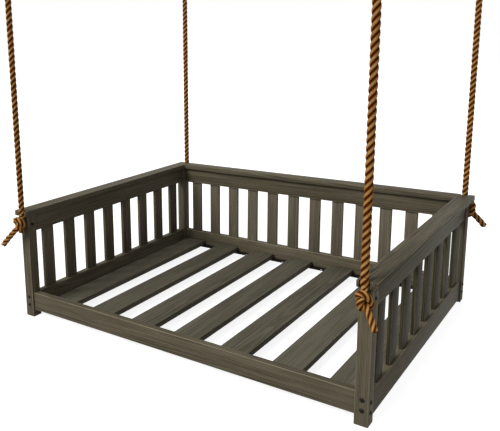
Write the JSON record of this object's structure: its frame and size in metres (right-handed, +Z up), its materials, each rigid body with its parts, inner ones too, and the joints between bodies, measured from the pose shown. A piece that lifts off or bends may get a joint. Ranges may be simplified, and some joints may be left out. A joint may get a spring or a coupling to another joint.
{
  "type": "hanging swing bed",
  "caption": "Slatted wooden daybed with a raised back and sides, hung by thick ropes from ceiling eyes; a knot under each corner carries the bed and lets it swing level.",
  "frame": {"origin": "on the ceiling, midway between the four ceiling eyes", "axes": "+X to the right along the bed seen from its open front, +Y to the back, +Z up into the ceiling"},
  "size_m": [2.1898, 1.8103, 2.22],
  "materials": {
    "frame_wood": "dark grey-brown stain with a low sheen, grain along each rail",
    "slat_wood": "the same stain, a shade lighter on caps and slats",
    "deck_wood": "the same stain, matt",
    "dowel_wood": "bare beech",
    "black_steel": "black, satin",
    "zinc_screws": "bright zinc plate",
    "galvanised_steel": "dull hot-dip galvanising",
    "rope": "three-strand laid rope, warm tan with a slight sheen"
  },
  "bodies": {
    "ceiling": {"ceiling_eyes": "galvanised_steel"},
    "sway_fl": {"shackle_fl": "galvanised_steel", "shackle_pin_fl": "galvanised_steel"},
    "rope_fl": {"rope_fl": "rope", "thimble_fl": "galvanised_steel"},
    "neck_fl": {"rope_neck_fl": "rope"},
    "sway_fr": {"shackle_fr": "galvanised_steel", "shackle_pin_fr": "galvanised_steel"},
    "rope_fr": {"rope_fr": "rope", "thimble_fr": "galvanised_steel"},
    "neck_fr": {"rope_neck_fr": "rope"},
    "sway_br": {"shackle_br": "galvanised_steel", "shackle_pin_br": "galvanised_steel"},
    "rope_br": {"rope_br": "rope", "thimble_br": "galvanised_steel"},
    "neck_br": {"rope_neck_br": "rope"},
    "sway_bl": {"shackle_bl": "galvanised_steel", "shackle_pin_bl": "galvanised_steel"},
    "rope_bl": {"rope_bl": "rope", "thimble_bl": "galvanised_steel"},
    "neck_bl": {"rope_neck_bl": "rope"},
    "bed": {"post_fl": "frame_wood", "post_fr": "frame_wood", "post_br": "frame_wood", "post_bl": "frame_wood", "front_rail": "frame_wood", "left_bottom_rail": "frame_wood", "right_bottom_rail": "frame_wood", "back_bottom_rail": "frame_wood", "left_top_rail": "frame_wood", "right_top_rail": "frame_wood", "back_top_rail": "frame_wood", "left_cap": "slat_wood", "right_cap": "slat_wood", "back_cap": "slat_wood", "left_slats": "slat_wood", "right_slats": "slat_wood", "back_slats_row": "slat_wood", "deck_board_1": "deck_wood", "deck_board_2": "deck_wood", "deck_board_3": "deck_wood", "deck_board_4": "deck_wood", "deck_board_5": "deck_wood", "deck_board_6": "deck_wood", "deck_board_7": "deck_wood", "front_angle": "black_steel", "back_angle": "black_steel", "frame_bolts": "black_steel", "barrel_nuts": "zinc_screws", "tenon_bolts": "black_steel", "tenon_nuts": "black_steel", "angle_screws": "zinc_screws", "board_screws": "zinc_screws", "cap_dowels": "dowel_wood", "knot_fl": "rope", "knot_fr": "rope", "knot_br": "rope", "knot_bl": "rope"}
  },
  "joints": [
    {"name": "swing_side_fl", "type": "hinge", "parent": "ceiling", "child": "sway_fl", "pos_m": [-0.976, -0.8315, -0.066], "axis": [0, 1, 0], "range_deg": [-12, 12]},
    {"name": "swing_depth_fl", "type": "hinge", "parent": "sway_fl", "child": "rope_fl", "pos_m": [-0.976, -0.8315, -0.122], "axis": [1, 0, 0], "range_deg": [-12, 12]},
    {"name": "neck_bend_fl", "type": "hinge", "parent": "rope_fl", "child": "neck_fl", "pos_m": [-0.976, -0.8315, -1.504], "axis": [1, 0, 0], "range_deg": [-12, 12]},
    {"name": "swing_side_fr", "type": "hinge", "parent": "ceiling", "child": "sway_fr", "pos_m": [0.976, -0.8315, -0.066], "axis": [0, 1, 0], "range_deg": [-12, 12]},
    {"name": "swing_depth_fr", "type": "hinge", "parent": "sway_fr", "child": "rope_fr", "pos_m": [0.976, -0.8315, -0.122], "axis": [1, 0, 0], "range_deg": [-12, 12]},
    {"name": "neck_bend_fr", "type": "hinge", "parent": "rope_fr", "child": "neck_fr", "pos_m": [0.976, -0.8315, -1.504], "axis": [1, 0, 0], "range_deg": [-12, 12]},
    {"name": "swing_side_br", "type": "hinge", "parent": "ceiling", "child": "sway_br", "pos_m": [0.976, 0.8315, -0.066], "axis": [0, 1, 0], "range_deg": [-12, 12]},
    {"name": "swing_depth_br", "type": "hinge", "parent": "sway_br", "child": "rope_br", "pos_m": [0.976, 0.8315, -0.122], "axis": [1, 0, 0], "range_deg": [-12, 12]},
    {"name": "neck_bend_br", "type": "hinge", "parent": "rope_br", "child": "neck_br", "pos_m": [0.976, 0.8315, -1.504], "axis": [1, 0, 0], "range_deg": [-12, 12]},
    {"name": "swing_side_bl", "type": "hinge", "parent": "ceiling", "child": "sway_bl", "pos_m": [-0.976, 0.8315, -0.066], "axis": [0, 1, 0], "range_deg": [-12, 12]},
    {"name": "swing_depth_bl", "type": "hinge", "parent": "sway_bl", "child": "rope_bl", "pos_m": [-0.976, 0.8315, -0.122], "axis": [1, 0, 0], "range_deg": [-12, 12]},
    {"name": "neck_bend_bl", "type": "hinge", "parent": "rope_bl", "child": "neck_bl", "pos_m": [-0.976, 0.8315, -1.504], "axis": [1, 0, 0], "range_deg": [-12, 12]},
    {"name": "bed_level", "type": "hinge", "parent": "neck_fl", "child": "bed", "pos_m": [-0.976, -0.8315, -1.504], "axis": [0, 1, 0], "range_deg": [-12, 12]}
  ],
  "couplings": [
    {"joint": "neck_bend_fl", "follows": "swing_depth_fl", "ratio": -1},
    {"joint": "swing_side_fr", "follows": "swing_side_fl", "ratio": 1},
    {"joint": "swing_depth_fr", "follows": "swing_depth_fl", "ratio": 1},
    {"joint": "neck_bend_fr", "follows": "swing_depth_fl", "ratio": -1},
    {"joint": "swing_side_br", "follows": "swing_side_fl", "ratio": 1},
    {"joint": "swing_depth_br", "follows": "swing_depth_fl", "ratio": 1},
    {"joint": "neck_bend_br", "follows": "swing_depth_fl", "ratio": -1},
    {"joint": "swing_side_bl", "follows": "swing_side_fl", "ratio": 1},
    {"joint": "swing_depth_bl", "follows": "swing_depth_fl", "ratio": 1},
    {"joint": "neck_bend_bl", "follows": "swing_depth_fl", "ratio": -1},
    {"joint": "bed_level", "follows": "swing_side_fl", "ratio": -1}
  ]
}
